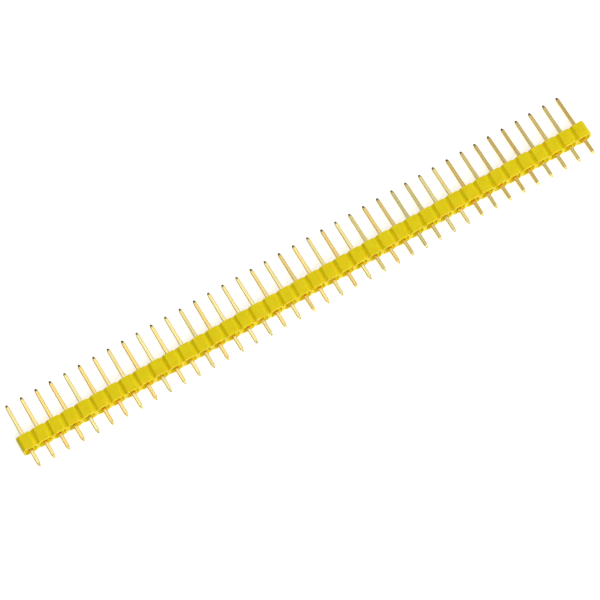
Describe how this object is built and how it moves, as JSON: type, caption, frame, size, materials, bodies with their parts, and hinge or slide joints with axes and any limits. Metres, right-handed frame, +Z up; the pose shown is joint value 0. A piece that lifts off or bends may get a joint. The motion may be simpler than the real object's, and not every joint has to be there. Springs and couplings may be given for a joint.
{
  "type": "pin header strip",
  "caption": "Single-row breakaway pin header: square pointed pins through a notched insulator strip, joining a circuit board to a socket row or jumper leads.",
  "frame": {"origin": "on the table under the strip's middle: halfway along the row and halfway along the pins", "axes": "+X along the row, +Y along the pins towards the mating ends, +Z up, out of the side face that shows"},
  "size_m": [0.1016, 0.0112, 0.0025],
  "materials": {
    "insulator": "satin moulded",
    "pins": "gold plated, drawn"
  },
  "bodies": {
    "root": {"housing": "insulator", "pin_01": "pins", "pin_02": "pins", "pin_03": "pins", "pin_04": "pins", "pin_05": "pins", "pin_06": "pins", "pin_07": "pins", "pin_08": "pins", "pin_09": "pins", "pin_10": "pins", "pin_11": "pins", "pin_12": "pins", "pin_13": "pins", "pin_14": "pins", "pin_15": "pins", "pin_16": "pins", "pin_17": "pins", "pin_18": "pins", "pin_19": "pins", "pin_20": "pins", "pin_21": "pins", "pin_22": "pins", "pin_23": "pins", "pin_24": "pins", "pin_25": "pins", "pin_26": "pins", "pin_27": "pins", "pin_28": "pins", "pin_29": "pins", "pin_30": "pins", "pin_31": "pins", "pin_32": "pins", "pin_33": "pins", "pin_34": "pins", "pin_35": "pins", "pin_36": "pins", "pin_37": "pins", "pin_38": "pins", "pin_39": "pins", "pin_40": "pins"}
  },
  "joints": []
}
